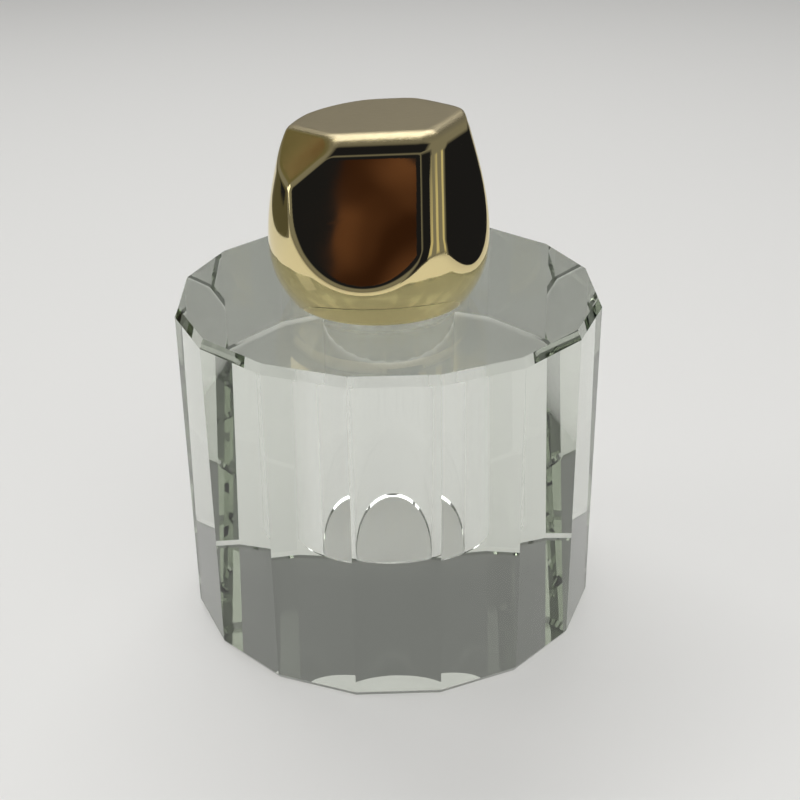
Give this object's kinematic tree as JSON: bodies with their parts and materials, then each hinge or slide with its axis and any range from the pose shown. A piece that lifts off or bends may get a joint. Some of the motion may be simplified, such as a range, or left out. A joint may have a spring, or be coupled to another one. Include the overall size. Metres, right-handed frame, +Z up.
{
  "type": "perfume bottle",
  "caption": "Faceted clear crystal perfume bottle with a drilled well and a rounded gold-plated nugget screw cap.",
  "frame": {"origin": "centre of the crystal's base, on the surface it stands on", "axes": "+Z up along the well, neck and screw thread; one facet of the crystal faces -Y"},
  "size_m": [0.05, 0.05, 0.0625],
  "materials": {
    "crystal": "polished optical crystal",
    "clear_plastic": "clear moulded plastic",
    "clear_silicone": "translucent silicone",
    "natural_plastic": "milky polyethylene",
    "foam": "closed-cell foam",
    "white_plastic": "satin moulded plastic",
    "gold_plating": "mirror-polished pale gold plating, satin top"
  },
  "bodies": {
    "bottle": {"crystal_body": "crystal", "threaded_neck": "clear_plastic", "upper_o_ring": "clear_silicone", "lower_o_ring": "clear_silicone", "orifice_reducer": "natural_plastic"},
    "seal": {"sealing_disc": "foam"},
    "cap": {"cap_liner": "white_plastic", "cap_shell": "gold_plating"}
  },
  "joints": [
    {"name": "cap_rise", "type": "slide", "parent": "bottle", "child": "seal", "axis": [0, 0, 1], "range_m": [0, 0.0105]},
    {"name": "cap_turn", "type": "hinge", "parent": "seal", "child": "cap", "pos_m": [0, 0, 0.0412], "axis": [0, 0, 1], "range_deg": [0, 1260]}
  ],
  "couplings": [
    {"joint": "cap_rise", "follows": "cap_turn", "m_per_rad": 0.00047746}
  ]
}
